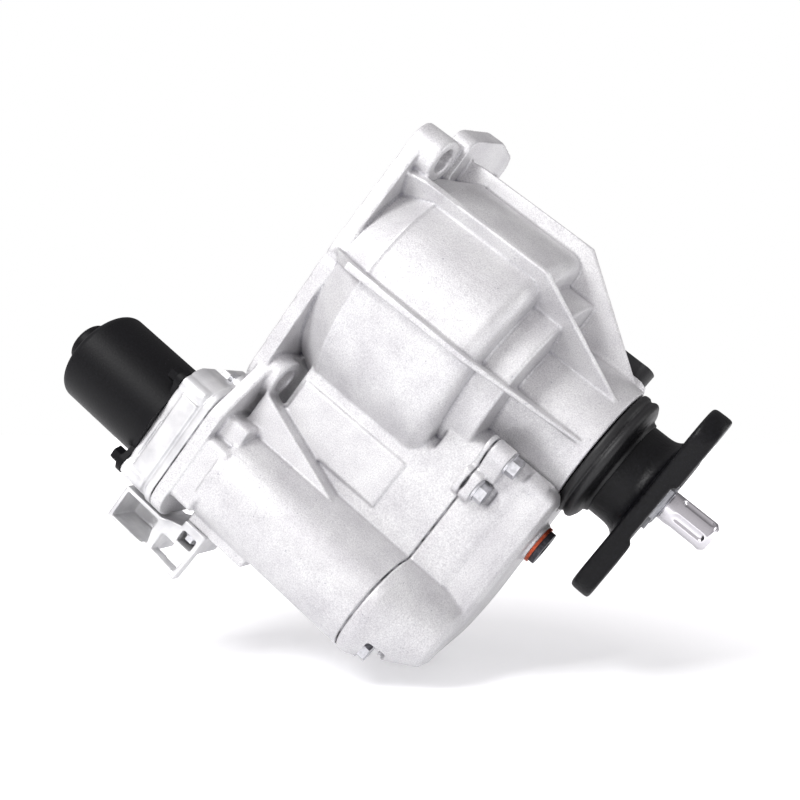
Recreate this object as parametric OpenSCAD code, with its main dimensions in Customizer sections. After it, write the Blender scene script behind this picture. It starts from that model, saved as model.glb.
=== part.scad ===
// Electrically actuated differential clutch: an active transfer case that lies along its main shaft.
// +X runs along the main shaft towards the rear output flange and +Z is up. The origin is where the
// shaft axis meets the mounting face of the case, which bolts to the gearbox.

/* [Mounting plate] */
// Half the distance between the gearbox bolts across the case
bolt_half_y = 48; // [47:0.5:52]
// Half the distance between the gearbox bolts up the case
bolt_half_z = 70; // [69:0.5:74]
// Radius of each gearbox bolt hole
bolt_hole_r = 6.5; // [4:0.25:7.5]
// Radius of the boss round each bolt hole
boss_r = 12; // [10:0.5:13]
// Length of each bolt boss from the mounting face
boss_len = 17.5; // [12:0.5:22]
// Thickness of the mounting plate
plate_t = 8; // [6:0.5:10]
// Height of the tall ear above the shaft axis
ear_top = 97; // [90:1:105]

/* [Bell] */
// Outer radius of the bell over the clutch
bell_r = 72.5; // [71:0.5:76]
// Distance from the mounting face to the bell's rear end
bell_len = 98; // [97:0.5:102]
// Wall of the bell
bell_wall = 7.5; // [5:0.5:9]
// Radius of the bell's rear edge
bell_round = 9; // [4:1:12]
// Radius of the step behind the bell
band_r = 57.5; // [54:0.5:62]
// Length of the step behind the bell
band_len = 17.5; // [16:0.5:20]
// Radius of the tail that holds the rear bearing
tail_r = 38; // [36:0.5:42]
// Distance from the bell's rear end to the tail's end
tail_len = 65; // [64:0.5:68]
// Height of the ribs' crest above the shaft axis
rib_crest = 81; // [78:0.5:86]
// Thickness of the ribs at the mounting plate
rib_root = 4.6; // [4:0.2:6]
// Thickness of the ribs at the tail
rib_tip = 2; // [1.5:0.25:3]
// Angle from the top rib to the next one
rib_pitch = 44; // [40:1:48]

/* [Lower case] */
// Distance from the shaft axis to the near wall of the gear case
near_wall = 47; // [45:0.5:50]
// Radius of the tube round the actuator shaft
act_tube_r = 28.5; // [26:0.5:31]
// Wall of the gear case and its cover
case_wall = 5; // [4:0.5:6]
// Distance from the bell's rear end to the cover joint
joint_x = 29; // [28:0.5:32]
// Thickness of the cover gasket
gasket_t = 0.5; // [0.3:0.1:1]
// Depth of the cover from its joint to its end wall
cover_len = 41; // [40:0.5:44]
// Radius round the cover's rear edge
cover_round = 8; // [3:1:9]

/* [Clutch] */
// Radius of the main shaft
shaft_r = 17; // [15:0.5:17.5]
// Outer radius of the clutch drum
drum_r = 55.5; // [54:0.5:56]
// Number of friction plates
friction_n = 6; // [3:1:6]
// Thickness of one clutch plate
clutch_plate_t = 1.8; // [1.2:0.1:1.8]
// Number of spline teeth on the hub and drum
spline_n = 18; // [12:1:24]
// Travel of the ball ramp along the shaft
ramp_travel = 0.8; // [0.4:0.1:0.9]
// Number of balls in the ball ramp
ramp_ball_n = 6; // [3:1:8]

/* [Gears] */
// Module of the front drive gears
drive_m = 2; // [1.8:0.05:2]
// Teeth on the drive gear and on the front gear
drive_z = 30; // [28:1:30]
// Teeth on the idler gear
idler_z = 29; // [27:2:31]
// Width of the front drive gears
drive_w = 14; // [10:0.5:14]
// Module of the actuator's reduction gears
act_m = 1; // [0.9:0.05:1.1]
// Teeth on the motor pinion
pinion_z = 14; // [13:1:16]
// Teeth on the layshaft's large gear
lay_z = 34; // [30:1:36]
// Teeth on the layshaft's small gear
lay_small_z = 16; // [14:1:18]

/* [Actuator] */
// Height of the motor axis below the shaft axis
motor_drop = 127; // [125:0.5:130]
// Distance of the motor axis in front of the shaft axis
motor_side = 50; // [48:0.5:52]
// Outer radius of the motor can
can_r = 28; // [26:0.5:29]
// Length of the motor can
can_len = 59.5; // [56:0.5:66]
// Distance from the mounting face back to the gearcase joint
gearcase_x = 4; // [3:0.5:5]
// Length of the gearcase
gearcase_len = 22; // [21:0.5:26]

/* [Rear output] */
// Pitch circle diameter of the output flange bolts
flange_pcd = 96; // [92:1:104]
// Radius of the output flange bolt holes
flange_hole_r = 5.25; // [4:0.25:6]
// Radius round the end of each flange arm
arm_r = 16; // [13:0.5:18]
// Thickness of the flange arms
arm_t = 9; // [8:0.5:10]
// Height of the machined pad on each arm
arm_pad = 2.6; // [2:0.2:4]
// Radius of the flange neck
neck_r = 27.5; // [26:0.5:30]
// Radius of the dust cover
dust_r = 37.4; // [35:0.2:39]
// Radius of the pilot pin
pin_r = 8.5; // [7:0.25:9]
// Distance from the tail's end to the pilot pin's end
pin_end = 72.5; // [66:0.5:80]

/* [Front output] */
// Radius of the bore that takes the front propshaft
front_bore_r = 10; // [8:0.5:11]
// Depth of that bore
front_bore_len = 18; // [12:1:24]
// Radius of the bore that takes the gearbox shaft
input_bore_r = 12; // [9:0.5:13]
// Depth of that bore
input_bore_len = 28; // [18:1:34]

/* [Hidden] */
$fn = 96;
fit = 0.04;
gap = 0.4;
seat = 0.02;
eps = 1;
tuck = 0.01;

pressure_angle = 20;
backlash = 0.16;

// Axes across the shaft, as [y, z]
main_c = [0, 0];
act_c = [-motor_side, -motor_drop];
drive_r = drive_m * drive_z / 2;
idler_r = drive_m * idler_z / 2;
train_a = -71.2;
idler_c = [cos(train_a), sin(train_a)] * (drive_r + idler_r);
front_c = idler_c * 2;
lay_a = -10;
act_gear_z = pinion_z + lay_z - lay_small_z;
lay_dist = act_m * (pinion_z + lay_z) / 2;
lay_c = act_c + [cos(lay_a), sin(lay_a)] * lay_dist;

// Stations along the shaft
band_end = bell_len + band_len;
tail_end = bell_len + tail_len;
joint_at = bell_len + joint_x;
pin_x1 = tail_end + pin_end;
core_r = bell_r - bell_wall;
core_x0 = 24;
core_x1 = bell_len - 8;
mouth_r = drum_r + 1.5;
drum_bearing_r = 42;
drum_bearing_w = 14;
chamber_x0 = core_x1 + drum_bearing_w + 3;
housing_end = joint_at - gasket_t / 2;
cover_x0 = joint_at + gasket_t / 2;
cover_x1 = cover_x0 + cover_len;
gear_x0 = chamber_x0 + 2;
rear_bearing_r = 31;
rear_bearing_w = 16;
rear_bearing_x = joint_at + 4;
rear_shaft_r = 15;
seal_room = tail_end - rear_bearing_x - rear_bearing_w - 2;
seal_w = seal_room * 4 / 7;
seal_x = tail_end - seal_room * 11 / 14;
seal_r = 22;
spline_r = 13;
arm_x1 = tail_end + 41.5;
arm_a = 37;
flute_n = 5;
flute_r = 3.3;
arm_x0 = arm_x1 - arm_t;
neck_x0 = tail_end + 2;
dust_x0 = tail_end + 0.6;
dust_len = 15;
nut_x = arm_x0 + 2;
nut_w = 9;
recess_r = 22.5;
front_plate_x = 3;
front_plate_t = 11;
front_hub_r = 52;
front_bearing_r = 34;
front_bearing_w = 15;
front_bearing_x = 9;
front_journal_r = 20;
thrust_t = 4;
ring_t = 8;
ring_gap = 3;
ring_in = 38;
ring_out = 53.5;
ramp_r = 46;
ramp_ball_r = 4.5;
slide_t = 7;
needle_t = 3;
pressure_t = 3.6;
drum_wall = 3.5;
plate_pitch = clutch_plate_t + gap - 0.1;
drum_end = core_x1 - 0.5;
drum_web = 4;
pack_gap = 0.6;
pack_x = drum_end - drum_web - pack_gap - 2 * (friction_n - 1) * plate_pitch - clutch_plate_t;
pressure_x = pack_x - gap - ramp_travel - pressure_t;
needle_x = pressure_x - gap - needle_t;
slide_x = needle_x - slide_t;
lever_x = slide_x - ring_gap - ring_t;
front_hub_end = lever_x - gap - thrust_t;
drum_x0 = pressure_x - 1.5;
sleeve_r = 24;
bush_r = 20;
hub_r = 32;
hub_spline = 2;
drum_in = drum_r - drum_wall - 2;
sleeve_end = gear_x0 + drive_w + 1;
roller_r = 7;
cam_r = 9.5;
cam_rise = 8;
lever_dist = norm(act_c);
act_dir = act_c / lever_dist;
act_side = [-act_dir[1], act_dir[0]];
cam_gap = 0.7;
cam_sweep = 120;
fork_t = 1.8;
roller_c = act_c + act_side * (cam_r + roller_r + cam_gap);
ramp_ball_x = lever_x + ring_t + ring_gap / 2;
ball_gap = 0.3;
groove_sweep = 3.4;
groove_lead = 0.8;
lever_chamber_x0 = lever_x - 2;
lever_chamber_x1 = lever_x + ring_t + 2;
case_x0 = 24;
act_bore_r = 19.5;
act_shaft_r = 8;
act_bearing_r = 16;
act_bearing_w = 10;
act_x0 = -8;
act_seat_x1 = gearcase_x + gasket_t + act_bearing_w;
act_x1 = cover_x0 + 12;
gearcase_x0 = gearcase_x - gearcase_len;
motor_plate_t = 3;
can_x1 = gearcase_x0 - motor_plate_t;
can_x0 = can_x1 - can_len;
can_wall = 2;
can_boss_r = 12.5;
can_boss_len = 11.5;
can_round = 5;
motor_bolt_r = 34.5;
motor_bolt_a = [127, 230, 43, 300];
front_bearing2_r = 31;
front_bearing2_w = 16;
front_shaft_r = 15;
front_tube_r = 36;
front_tube_x0 = 30;
front_end = -20;
idler_pin_r = 10;
lay_pin_r = 3;
lay_r = act_m * (lay_z / 2 + 1);
gearcase_floor = 3;
pinion_x = gearcase_x0 + gearcase_floor + 1;
pinion_w = 5.5;
out_gear_x = pinion_x + pinion_w + 1;
out_gear_w = 6;
rotor_shaft_r = 3;
magnet_r = 18.5;
bracket_depth = 26;
bracket_wall = 5;
bracket_top = act_c[1] - act_tube_r - 3;
bracket_bolt_x = case_x0 + 7;
bracket_bolt_y = [act_c[0] - 8.5, act_c[0] + 1.6];
sensor_x = tail_end - 9;
sensor_a = 24;
dark = [0.10, 0.10, 0.11];
cast = [0.83, 0.83, 0.85];
steel = [0.62, 0.63, 0.65];
bright = [0.78, 0.79, 0.80];

// Bolts of the cover, as [y, z]
cover_bolt_c = [[-near_wall - 5, -26.5], [-near_wall - 4, -47], act_c + [4.4, -23.7],
    [0, -152], front_c + [24, -31], front_c + [38, 8], idler_c + [37, 12], [48, -27]];
cover_bolt_x = [11, 6, 8, 8.5, 8.5, 8.5, 8.5, 12];
cover_bolt_reach = [3, 3, 9, 9, 9, 9, 9, 9];
cover_bolt_r = 3;
bolt_head_r = 5.6;
bolt_head_t = 6;
bolt_boss_r = 7;
head_room = 1.1;

// Round bar along X between two stations, about the axis through c = [y, z]
module rod(x0, x1, r, c = main_c, r2 = -1) {
    translate([x0, c[0], c[1]]) rotate([0, 90, 0])
        cylinder(h = x1 - x0, r1 = r, r2 = r2 < 0 ? r : r2);
}

// Tube along X
module tube(x0, x1, r_out, r_in, c = main_c) {
    difference() {
        rod(x0, x1, r_out, c);
        rod(x0 - eps, x1 + eps, r_in, c);
    }
}

// Flat [y, z] outline given a length along X
module along(x0, x1) {
    translate([x0, 0, 0]) rotate([90, 0, 90]) linear_extrude(x1 - x0) children();
}

// Turned shape about an axis along X, from a profile of [radius, x]
module turned(c = main_c) {
    translate([0, c[0], c[1]]) rotate([0, 90, 0]) rotate_extrude() children();
}

// Box from its lowest to its highest corner
module block(a, b) {
    translate(a) cube(b - a);
}

// Corner points of a belt that runs counterclockwise round the circles [y, z, r], just inside them
function belt(cs) = [for (i = [0 : len(cs) - 1])
    let (a = cs[i], b = cs[(i + 1) % len(cs)], d = [b[0] - a[0], b[1] - a[1]], u = d / norm(d),
        k = (a[2] - b[2]) / norm(d), n = [u[1], -u[0]] * sqrt(1 - k * k) + u * k)
    each [[a[0], a[1]] + n * (a[2] - tuck), [b[0], b[1]] + n * (b[2] - tuck)]];

// Outline with rounded corners, round a list of circles
module pebble(cs) {
    polygon(belt(cs));
    for (c = cs) translate([c[0], c[1]]) circle(c[2]);
}

function grow(cs, d) = [for (c = cs) [c[0], c[1], c[2] + d]];
function polar(r, a) = [r * cos(a), r * sin(a)];
function inv(a) = tan(a) * 180 / PI - a;

// Points of an involute gear with one tooth centred on the angle start
function gear_points(m, z, start) =
    let (rp = m * z / 2, rb = rp * cos(pressure_angle), ra = rp + 0.92 * m, rf = rp - 1.2 * m,
        half = 90 / z - backlash / rp * 90 / PI,
        side = [for (r = [max(rf, rb), rp, (rp + ra) / 2, ra])
            [r, half + inv(pressure_angle) - inv(acos(min(1, rb / r)))]],
        flank = rf < rb ? concat([[rf, side[0][1]]], side) : concat([[rf, side[0][1] + 0.3]], side))
    [for (i = [0 : z - 1], s = [-1, 1], j = [0 : len(flank) - 1])
        let (f = flank[s < 0 ? j : len(flank) - 1 - j]) polar(f[0], start + 360 * i / z + s * f[1])];

module gear(m, z, start, x0, w, c) {
    translate([0, c[0], c[1]]) along(x0, x0 + w) polygon(gear_points(m, z, start));
}

// Points of a ring of square splines that stand out from r0 to r1
function spline_points(r0, r1, n, share) = [for (i = [0 : n - 1])
    let (a = 360 * i / n, h = 180 / n * share)
    each [polar(r0, a - h), polar(r1, a - h), polar(r1, a + h), polar(r0, a + h)]];

// Ball bearing: two grooved rings and the balls between them
module ball_bearing(x0, w, r_out, r_in, c, n) {
    pitch = (r_out + r_in) / 2;
    ball = (r_out - r_in) * 0.28;
    x = x0 + w / 2;
    difference() {
        tube(x0, x0 + w, r_out - seat, pitch + ball * 0.5, c);
        turned(c) translate([pitch, x]) circle(ball + fit);
    }
    difference() {
        tube(x0, x0 + w, pitch - ball * 0.5, r_in + fit, c);
        turned(c) translate([pitch, x]) circle(ball + fit);
    }
    for (i = [1 : n]) translate([x, c[0], c[1]] + pitch * [0, cos(360 * i / n), sin(360 * i / n)])
        sphere(ball);
}

// Hexagon bolt along X with its head's washer face at x and its shank towards side
module hex_bolt(c, x, head_r, head_t, shank_r, shank_len, side = -1) {
    head = side < 0 ? [x + 1.2, x + head_t] : [x - head_t, x - 1.2];
    washer = side < 0 ? [x, x + 1.2] : [x - 1.2, x];
    shank = side < 0 ? [x - shank_len, x + eps] : [x - eps, x + shank_len];
    rod(washer[0], washer[1], head_r + 0.8, c);
    translate([head[0], c[0], c[1]]) rotate([0, 90, 0])
        cylinder(h = head[1] - head[0], r = head_r, $fn = 6);
    rod(shank[0], shank[1], shank_r, c);
}

// Lip seal: a steel-cased ring with a thinner lip on the shaft
module lip_seal(x0, w, r_out, r_in, c) {
    difference() {
        rod(x0, x0 + w, r_out - seat, c);
        rod(x0 - eps, x0 + w - 2.5, r_out - 3, c);
        rod(x0 - eps, x0 + w + eps, r_in + fit, c);
    }
    tube(x0 + 1, x0 + w - 2, r_in + 2.5, r_in + fit, c);
}

// Outlines of the case
plate_c = [[-bolt_half_y, bolt_half_z, boss_r], [-near_wall + 3, 0, 20],
    [-bolt_half_y, -bolt_half_z, boss_r], [bolt_half_y, -bolt_half_z, boss_r],
    [near_wall - 3, 0, 20], [bolt_half_y, bolt_half_z, boss_r]];
ear_c = [[-5, ear_top - 14, 8], [-5, 60, 8], [48, 60, 9], [48, ear_top - 9, 9], [28, ear_top - 7, 9]];
gearcase_c = [[act_c[0] - 12, act_c[1] + 24, 15], [act_c[0] - 12, act_c[1] - 23, 15],
    [act_c[0] + 30, act_c[1] - 21, 15], [act_c[0] + 28, act_c[1] + 22, 17]];
near_top = [-near_wall + 7.5, -33, 7.5];
near_low = [-near_wall + 8, -105, 8];
low_c = [-6, -141, 12];
web_c = [act_c[0] + 36, act_c[1] - 14, 12];
front_disc = [front_c[0], front_c[1], drive_r + 7];
idler_disc = [idler_c[0], idler_c[1], idler_r + 9];
case_c = [near_top, near_low, low_c, front_disc, idler_disc];
body_c = [[-near_wall + 8, -50, 8], near_low, [-14, -141, 12], [2, -60, 10]];
act_web_c = [[act_c[0], act_c[1], act_tube_r], web_c, near_low];
// Corner by the top bolt, and the pad round the second bolt
corner_c = [[-near_wall - 5, -26.5, bolt_boss_r], [-near_wall + 7.5, -48, 7.5], near_top];
pad_c = [[-near_wall - 5.5, -51.5, 4], [-near_wall + 6, -54, 4], [-near_wall + 6, -40, 4],
    [-near_wall - 5.5, -42.5, 4]];
sump_c = [[-near_wall + 12, -52, 6], [-near_wall + 12, -92, 6], [2, -92, 6], [2, -52, 6]];

// Gear chamber, grown outwards by d
module chamber(d = 0) {
    pebble(grow([[0, 0, drive_r + 3.5], [front_c[0], front_c[1], drive_r + 3.5]], d));
    pebble(grow(sump_c, d));
}

// One cast rib that stands on the bell, the band and the tail
module rib(angle, crest, front) {
    side = [[2, 59], [2, crest - front], [20, crest], [bell_len - 2, crest], [tail_end - 6, tail_r + 0.6],
        [tail_end - 6, tail_r - 4], [band_end - 4, tail_r - 4], [band_end - 4, band_r - 8],
        [bell_len - 2, band_r - 8], [bell_len - 8, bell_r - 5], [27, bell_r - 5]];
    rotate([angle, 0, 0]) intersection() {
        translate([0, 10, 0]) rotate([90, 0, 0]) linear_extrude(20) polygon(side);
        linear_extrude(crest + 10) polygon([[0, rib_root / 2], [0, -rib_root / 2],
            [tail_end, -rib_tip / 2], [tail_end, rib_tip / 2]]);
    }
}

module bell_shape() {
    turned() difference() {
        union() {
            polygon([[0, 4], [bell_r - 9, 4], [bell_r - 9, plate_t], [bell_r + 0.6, 28],
                [bell_r, 28.6], [bell_r, bell_len - bell_round], [bell_r - bell_round, bell_len],
                [0, bell_len]]);
            translate([bell_r - bell_round, bell_len - bell_round]) circle(bell_round);
        }
        translate([-bell_r, 0]) square([bell_r, bell_len]);
    }
    rod(bell_len - 6, band_end - 1, band_r);
    rod(band_end - 1, band_end, band_r, main_c, band_r - 1);
    rod(band_end - 6, tail_end, tail_r);
}

module lower_case() {
    along(case_x0, housing_end) {
        pebble(body_c);
        pebble(act_web_c);
    }
    along(chamber_x0 - 4, housing_end) pebble(case_c);
    along(joint_at - 3, housing_end) pebble(corner_c);
    along(joint_at - 4, housing_end) pebble(pad_c);
    rod(case_x0 + 7, housing_end, act_tube_r, act_c);
    rod(10, case_x0 + 8, act_tube_r - 3, act_c);
    rod(front_tube_x0, housing_end, front_tube_r, front_c);
    // raised panel on the near wall
    block([27, -near_wall - 1.6, -90], [bell_len - 2, -near_wall + 2, -62]);
    // gusset from the bolt boss down to the actuator tube
    translate([0, -near_wall + 2, 0]) rotate([90, 0, 0]) linear_extrude(13)
        polygon([[16, -78], [16, -112], [bell_len - 3, -112], [bell_len - 3, -104]]);
    // ledge below the actuator tube, which carries the bracket
    block([case_x0, act_c[0] - 12, bracket_top], [63, act_c[0] + 14, act_c[1] - 18]);
    // block and tab behind the gearcase pad
    along(10, case_x0 + 2) pebble([[act_c[0] - 21, act_c[1] + 12, 5], [act_c[0] - 21, act_c[1] - 18, 5],
        [act_c[0], act_c[1] - 18, 5], [act_c[0], act_c[1] + 12, 5]]);
    along(10, case_x0 + 2) pebble([[act_c[0] - 16, act_c[1] + 27, 4], [act_c[0] - 16, act_c[1] + 12, 4],
        [act_c[0], act_c[1] + 12, 4], [act_c[0], act_c[1] + 27, 4]]);
    // web that ties the front output tube to the near case
    along(60, 68) pebble([[-14, -110, 20], [front_c[0], front_c[1], 30], [20, -60, 20], [-6, -60, 14]]);
}

module main_housing() {
    color(cast) difference() {
        union() {
            bell_shape();
            along(0, plate_t) pebble(plate_c);
            along(0, 12) pebble(ear_c);
            for (y = [-1, 1], z = [-1, 1]) rod(0, boss_len, boss_r, [y * bolt_half_y, z * bolt_half_z]);
            for (i = [0 : 2]) rib(i * rib_pitch, rib_crest, i < 2 ? 3 : 18);
            for (i = [1 : 2]) rib(-i * rib_pitch, rib_crest, i < 2 ? 3 : 18);
            lower_case();
            along(gearcase_x + gasket_t, 12) {
                pebble(gearcase_c);
                pebble([[-bolt_half_y, -bolt_half_z, boss_r], [act_c[0] - 12, act_c[1] + 24, 15],
                    [act_c[0] + 28, act_c[1] + 22, 17], [0, -bolt_half_z, boss_r]]);
                for (c = gearcase_bolt_c) translate(c) circle(6);
            }
            for (i = [2 : len(cover_bolt_c) - 1]) rod(joint_at - 14, housing_end, bolt_boss_r, cover_bolt_c[i]);
            // boss of the speed sensor
            rotate([-sensor_a, 0, 0]) translate([sensor_x, 0, tail_r - 3]) cylinder(h = 7, r = 7.5);
        }
        // clutch space and bores on the shaft axis
        rod(-eps, front_plate_x + front_plate_t, mouth_r);
        rod(front_plate_x - 2, front_plate_x, mouth_r + 2);
        rod(front_plate_x, core_x0, drum_r + 0.5);
        rod(core_x0 - 0.01, core_x1, core_r);
        rod(core_x1 - eps, chamber_x0, drum_bearing_r);
        along(chamber_x0 - 0.01, housing_end + eps) chamber();
        rod(housing_end, housing_end + 0.5, drive_r + 3.5);
        rod(housing_end, rear_bearing_x + eps, seal_r + 4);
        rod(rear_bearing_x, tail_end + eps, rear_bearing_r);
        rod(rear_bearing_x + rear_bearing_w, rear_bearing_x + rear_bearing_w + 2, rear_bearing_r + 2);
        // gearbox bolt holes
        for (y = [-1, 1], z = [-1, 1])
            rod(-eps, boss_len + eps, bolt_hole_r, [y * bolt_half_y, z * bolt_half_z]);
        // blind dowel hole in the ear
        rod(-eps, 8, 5, [40, ear_top - 14]);
        // actuator shaft bore and its front bearing seat
        rod(gearcase_x - eps, housing_end + eps, act_bore_r - 6, act_c);
        rod(gearcase_x - eps, gearcase_x + gasket_t + act_bearing_w, act_bearing_r, act_c);
        rod(lever_chamber_x0 - 2, lever_chamber_x1 + 2, act_bore_r + 2, act_c);
        // lever space
        along(lever_chamber_x0, lever_chamber_x1) {
            pebble([[roller_c[0] + 4, roller_c[1] - 1, roller_r + 4], [8, -50, 9], [-26, -50, 9]]);
        }
        // front output shaft
        rod(front_tube_x0 - eps, chamber_x0 + eps, front_bearing2_r - 4, front_c);
        rod(front_tube_x0 + 10, front_tube_x0 + 10 + front_bearing2_w, front_bearing2_r, front_c);
        rod(front_tube_x0 - eps, front_tube_x0 + 10 + eps, front_bearing2_r, front_c);
        // layshaft pin and sensor seats
        rod(gearcase_x - eps, gearcase_x + gasket_t + 4.5, lay_pin_r + seat, lay_c);
        rotate([-sensor_a, 0, 0]) translate([sensor_x, 0, tail_r - 4.1]) cylinder(h = 12, r = 4.6 + seat);
        // idler pin seat
        rod(chamber_x0 - 10, chamber_x0 + eps, idler_pin_r + seat, idler_c);
        // cover bolt holes
        for (i = [0 : len(cover_bolt_c) - 1]) rod(joint_at - cover_bolt_reach[i] - 1, joint_at + eps,
            cover_bolt_r + 0.1, cover_bolt_c[i]);
        // gearcase bolt holes
        for (c = gearcase_bolt_c) rod(gearcase_x - eps, 11, 2.6, c);
        // bracket bolt holes
        for (y = bracket_bolt_y) translate([bracket_bolt_x, y, bracket_top - eps]) cylinder(h = 13, r = 2.5);
        // scallop in the plate's near edge
        rod(-eps, plate_t + eps, 5, [-near_wall - 20.5, -2]);
    }
}

// Bolts that hold the gearcase to the case
gearcase_bolt_c = [act_c + [4, 38], act_c + [33, -33], act_c + [49, 0]];

// Rounded end of the cover over one circle, from its rear rim at x1
module cover_end(c, x1) {
    rod(cover_x0, x1 - cover_round, c[2], c, $fn = 40);
    rod(cover_x0, x1 - cover_round * 0.3, max(1, c[2] - cover_round * 0.3), c, $fn = 40);
    rod(cover_x0, x1, max(0.5, c[2] - cover_round), c, $fn = 40);
}

// Shape of the cover without its holes
module cover_shape() {
    act_end = [act_c[0] + 4, act_c[1] + 6, 19];
    hull() {
        for (c = [near_top, near_low]) cover_end(c + [1.6, 0, 0], cover_x1);
        for (c = [low_c, front_disc, idler_disc]) cover_end(c, cover_x1 - 4);
    }
    // the near face stands further out up to a soft step
    hull() for (c = [near_top, near_low]) {
        rod(cover_x0, cover_x0 + 20, c[2], c, $fn = 40);
        rod(cover_x0, cover_x0 + 24, c[2], c + [1.7, 0], $fn = 40);
    }
    // ridge behind the top bolt
    hull() {
        rod(cover_x0 + 22, cover_x0 + 23, 6, near_top + [-1.5, 4], $fn = 24);
        rod(cover_x1 - 9, cover_x1 - 8, 6.5, near_top + [0.6, 1.5], $fn = 24);
    }
    hull() {
        rod(cover_x0, cover_x0 + 6, act_tube_r, act_c, $fn = 64);
        cover_end(act_end, cover_x1 - 0.5);
        cover_end(near_low + [1.6, 0, 0], cover_x1 - 1);
        rod(cover_x0, cover_x0 + 6, web_c[2], web_c, $fn = 32);
    }
    for (i = [2 : len(cover_bolt_c) - 1])
        rod(cover_x0, cover_x0 + cover_bolt_x[i], bolt_boss_r, cover_bolt_c[i]);
    along(cover_x0, cover_x0 + cover_bolt_x[0]) pebble(corner_c);
    along(cover_x0, cover_x0 + cover_bolt_x[1]) pebble(pad_c);
    // drain plug boss
    rod(cover_x1 - 5, cover_x1 + 2, 11.5, drain_c);
}
drain_c = [-16, -56];

module rear_cover() {
    inner_x1 = cover_x1 - case_wall - 4;
    color(cast) difference() {
        cover_shape();
        rod(cover_x0 - eps, cover_x1 + 9, tail_r + 0.8);
        along(cover_x0 - eps, inner_x1) pebble(sump_c);
        along(cover_x0 - eps, inner_x1 - 4) difference() {
            chamber();
            circle(tail_r + case_wall);
            translate(front_c) circle(front_bearing2_r + case_wall);
            translate(idler_c) circle(idler_pin_r + case_wall);
        }
        rod(cover_x0 - eps, act_x1 + 2, act_bearing_r, act_c);
        rod(cover_x0 - eps, cover_x0 + drive_w + 6, front_bearing2_r, front_c);
        rod(cover_x0 - eps, cover_x0 + 8, idler_pin_r + seat, idler_c);
        for (i = [0 : len(cover_bolt_c) - 1])
            rod(cover_x0 - eps, cover_x0 + cover_bolt_x[i] + eps, cover_bolt_r + 0.1, cover_bolt_c[i]);
        // room for the bolt heads that stand against the wall
        for (i = [0 : len(cover_bolt_c) - 1]) rod(cover_x0 + cover_bolt_x[i], cover_x0 + cover_bolt_x[i] + 9,
            bolt_head_r + head_room, cover_bolt_c[i]);
        along(cover_x0 + cover_bolt_x[2], cover_x0 + cover_bolt_x[2] + 9) pebble([
            [cover_bolt_c[2][0], cover_bolt_c[2][1], bolt_head_r + head_room],
            [cover_bolt_c[2][0] - 12, cover_bolt_c[2][1] - 10, 9],
            [cover_bolt_c[2][0] + 6, cover_bolt_c[2][1] - 16, 9]]);
        rod(cover_x1 - 12, cover_x1 + 4, 7, drain_c);
    }
}

module cover_gasket() {
    color(dark) difference() {
        along(housing_end, cover_x0) difference() {
            union() {
                pebble(grow(case_c, -0.4));
                pebble(grow(act_web_c, -0.4));
                pebble(grow(corner_c, -0.4));
                pebble(grow(pad_c, -0.4));
                for (c = cover_bolt_c) translate(c) circle(bolt_boss_r - 0.4);
            }
            chamber();
            circle(tail_r + 0.8);
            translate(act_c) circle(act_bearing_r);
            translate(front_c) circle(front_bearing2_r);
            for (c = cover_bolt_c) translate(c) circle(cover_bolt_r + 0.1);
        }
    }
}

module cover_bolts() {
    color(bright) for (i = [0 : len(cover_bolt_c) - 1])
        hex_bolt(cover_bolt_c[i], cover_x0 + cover_bolt_x[i], bolt_head_r, bolt_head_t, cover_bolt_r,
            cover_bolt_x[i] + cover_bolt_reach[i]);
}

// Hexagon-socket plug that seals the oil drain
module drain_plug() {
    color([0.30, 0.30, 0.31]) difference() {
        union() {
            rod(cover_x1 - 9, cover_x1 + 4, 6.9, drain_c);
            rod(cover_x1 + 3.6, cover_x1 + 8.4, 9.6, drain_c);
        }
        translate([cover_x1 + 3, drain_c[0], drain_c[1]]) rotate([0, 90, 0])
            cylinder(h = 6, r = 5, $fn = 6);
    }
}

module drain_washer() {
    color([0.72, 0.36, 0.24]) tube(cover_x1 + 2, cover_x1 + 3.6, 10.8, 7.2, drain_c);
}

// Plate that closes the bell and holds the front bearing and its seal
module front_bearing_plate() {
    color(cast) difference() {
        union() {
            rod(front_plate_x, front_plate_x + front_plate_t, mouth_r - seat);
            rod(front_plate_x, front_hub_end, front_hub_r);
        }
        rod(front_plate_x - eps, front_hub_end + eps, front_journal_r + 4);
        rod(front_bearing_x, front_hub_end + eps, front_bearing_r);
        rod(front_plate_x - eps, front_bearing_x - 1.5, front_bearing_r - 4);
    }
}

// Ring that holds the bearing plate in the mouth of the bell
module plate_snap_ring() {
    color(steel) difference() {
        tube(front_plate_x - 1.9, front_plate_x - 0.1, mouth_r + 1.8, mouth_r - 4);
        block([0, -5, 0], [front_plate_x, 5, mouth_r + 5]);
    }
}

module input_seal() {
    color(dark) lip_seal(front_plate_x, front_bearing_x - 1.5 - front_plate_x, front_bearing_r - 4,
        front_journal_r, main_c);
}

module front_main_bearing() {
    color(steel) ball_bearing(front_bearing_x, front_bearing_w, front_bearing_r, front_journal_r,
        main_c, 12);
}

module drum_bearing() {
    color(steel) ball_bearing(core_x1 + 1.5, drum_bearing_w, drum_bearing_r, sleeve_r, main_c, 10);
}

module rear_main_bearing() {
    color(steel) ball_bearing(rear_bearing_x, rear_bearing_w, rear_bearing_r, rear_shaft_r, main_c, 9);
}

module rear_snap_ring() {
    color(steel) difference() {
        tube(rear_bearing_x + rear_bearing_w + 0.1, rear_bearing_x + rear_bearing_w + 1.9,
            rear_bearing_r + 1.8, rear_bearing_r - 3);
        block([rear_bearing_x, -4, 0], [rear_bearing_x + 30, 4, 50]);
    }
}

module rear_seal() {
    color(dark) lip_seal(seal_x, seal_w, rear_bearing_r, seal_r, main_c);
}

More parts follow.
